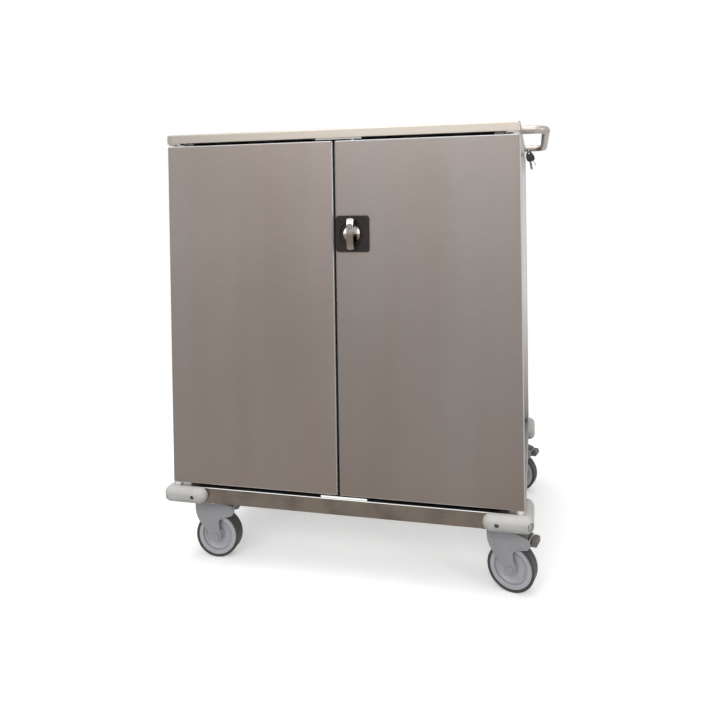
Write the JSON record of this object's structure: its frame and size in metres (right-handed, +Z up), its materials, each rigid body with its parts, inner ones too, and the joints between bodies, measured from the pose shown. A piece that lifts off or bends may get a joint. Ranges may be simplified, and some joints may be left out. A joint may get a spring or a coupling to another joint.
{
  "type": "linen cart",
  "caption": "Closed steel linen cart with double doors, shelves inside, a tube push handle at one end, corner bumpers and swivel castors.",
  "frame": {"origin": "on the floor, under the middle of the whole cart with handle, bumpers and lock lever", "axes": "+Z up, doors face -Y, push handle at +X"},
  "size_m": [1.098, 0.772, 1.238],
  "materials": {
    "satin_steel": "satin",
    "polished_tube": "polished",
    "zinc_steel": "satin",
    "bumper_plastic": "matte",
    "castor_plastic": "matte",
    "rim_plastic": "matte",
    "tyre_rubber": "matte",
    "pedal_plastic": "matte",
    "pivot_nylon": "matte",
    "lock_black": "satin",
    "lock_chrome": "polished"
  },
  "bodies": {
    "cart": {"back_liner": "satin_steel", "back_panel": "satin_steel", "base_plate": "satin_steel", "bumper_front_left": "bumper_plastic", "bumper_front_right": "bumper_plastic", "bumper_rear_left": "bumper_plastic", "bumper_rear_right": "bumper_plastic", "castor_mount_front_left": "zinc_steel", "castor_mount_front_right": "zinc_steel", "castor_mount_rear_left": "zinc_steel", "castor_mount_rear_right": "zinc_steel", "catch_bottom": "zinc_steel", "catch_top": "zinc_steel", "ceiling": "satin_steel", "pivot_bracket_left": "zinc_steel", "pivot_bracket_right": "zinc_steel", "pivot_lower_left": "pivot_nylon", "pivot_lower_right": "pivot_nylon", "pivot_upper_left": "pivot_nylon", "pivot_upper_right": "pivot_nylon", "post_front_left": "satin_steel", "post_front_right": "satin_steel", "post_rear_left": "satin_steel", "post_rear_right": "satin_steel", "push_handle": "polished_tube", "rail_front": "satin_steel", "rail_left": "satin_steel", "rail_rear": "satin_steel", "rail_right": "satin_steel", "shelf_1": "satin_steel", "shelf_2": "satin_steel", "shelf_edge_1": "satin_steel", "shelf_edge_2": "satin_steel", "side_panel_left": "satin_steel", "side_panel_right": "satin_steel", "worktop": "satin_steel"},
    "left_door": {"door_left": "satin_steel", "door_liner_left": "satin_steel"},
    "right_door": {"door_right": "satin_steel", "door_liner_right": "satin_steel", "lock_plate": "lock_black", "lock_case": "lock_black"},
    "lock_lever": {"lock_lever": "lock_chrome"},
    "lock_cylinder": {"lock_cylinder": "lock_chrome"},
    "rod_upper": {"rod_upper": "zinc_steel"},
    "rod_lower": {"rod_lower": "zinc_steel"},
    "castor_front_left": {"fork_front_left": "castor_plastic"},
    "wheel_front_left": {"wheel_rim_front_left": "rim_plastic", "tyre_front_left": "tyre_rubber"},
    "castor_front_right": {"fork_front_right": "castor_plastic"},
    "wheel_front_right": {"wheel_rim_front_right": "rim_plastic", "tyre_front_right": "tyre_rubber"},
    "castor_rear_left": {"fork_rear_left": "castor_plastic"},
    "wheel_rear_left": {"wheel_rim_rear_left": "rim_plastic", "tyre_rear_left": "tyre_rubber"},
    "castor_rear_right": {"fork_rear_right": "castor_plastic"},
    "wheel_rear_right": {"wheel_rim_rear_right": "rim_plastic", "tyre_rear_right": "tyre_rubber"},
    "pedal_front": {"pedal_front": "pedal_plastic"},
    "pedal_rear": {"pedal_rear": "pedal_plastic"}
  },
  "joints": [
    {"name": "left_door_hinge", "type": "hinge", "parent": "cart", "child": "left_door", "pos_m": [-0.515, -0.344, 0.7225], "axis": [0, 0, -1], "range_deg": [0, 270]},
    {"name": "right_door_hinge", "type": "hinge", "parent": "cart", "child": "right_door", "pos_m": [0.461, -0.344, 0.7225], "axis": [0, 0, 1], "range_deg": [0, 270]},
    {"name": "lock_turn", "type": "hinge", "parent": "right_door", "child": "lock_lever", "pos_m": [0.025, -0.356, 0.953], "axis": [0, 1, 0], "range_deg": [0, 90]},
    {"name": "cylinder_turn", "type": "hinge", "parent": "lock_lever", "child": "lock_cylinder", "pos_m": [0.025, -0.371, 0.973], "axis": [0, 1, 0], "range_deg": [0, 90]},
    {"name": "rod_upper_slide", "type": "slide", "parent": "right_door", "child": "rod_upper", "axis": [0, 0, 1], "range_m": [0, 0.006]},
    {"name": "rod_lower_slide", "type": "slide", "parent": "right_door", "child": "rod_lower", "axis": [0, 0, -1], "range_m": [0, 0.006]},
    {"name": "swivel_front_left", "type": "hinge", "parent": "cart", "child": "castor_front_left", "pos_m": [-0.457, -0.287, 0.158], "axis": [0, 0, 1], "continuous": true},
    {"name": "spin_front_left", "type": "hinge", "parent": "castor_front_left", "child": "wheel_front_left", "pos_m": [-0.42305, -0.28522, 0.065], "axis": [0.0523, -0.9986, 0], "continuous": true},
    {"name": "swivel_front_right", "type": "hinge", "parent": "cart", "child": "castor_front_right", "pos_m": [0.403, -0.287, 0.158], "axis": [0, 0, 1], "continuous": true},
    {"name": "spin_front_right", "type": "hinge", "parent": "castor_front_right", "child": "wheel_front_right", "pos_m": [0.43584, -0.2958, 0.065], "axis": [-0.2588, -0.9659, 0], "continuous": true},
    {"name": "swivel_rear_left", "type": "hinge", "parent": "cart", "child": "castor_rear_left", "pos_m": [-0.457, 0.295, 0.158], "axis": [0, 0, 1], "continuous": true},
    {"name": "spin_rear_left", "type": "hinge", "parent": "castor_rear_left", "child": "wheel_rear_left", "pos_m": [-0.42333, 0.29027, 0.065], "axis": [-0.1392, -0.9903, 0], "continuous": true},
    {"name": "swivel_rear_right", "type": "hinge", "parent": "cart", "child": "castor_rear_right", "pos_m": [0.403, 0.295, 0.158], "axis": [0, 0, 1], "continuous": true},
    {"name": "spin_rear_right", "type": "hinge", "parent": "castor_rear_right", "child": "wheel_rear_right", "pos_m": [0.43534, 0.28449, 0.065], "axis": [-0.309, -0.9511, 0], "continuous": true},
    {"name": "pedal_front_press", "type": "hinge", "parent": "castor_front_right", "child": "pedal_front", "pos_m": [0.47255, -0.30563, 0.1385], "axis": [0.2588, 0.9659, 0], "range_deg": [0, 15]},
    {"name": "pedal_rear_press", "type": "hinge", "parent": "castor_rear_right", "child": "pedal_rear", "pos_m": [0.47148, 0.27275, 0.1385], "axis": [0.309, 0.9511, 0], "range_deg": [0, 15]}
  ],
  "couplings": [
    {"joint": "rod_upper_slide", "follows": "lock_turn", "m_per_rad": 0.0038197},
    {"joint": "rod_lower_slide", "follows": "lock_turn", "m_per_rad": 0.0038197}
  ]
}
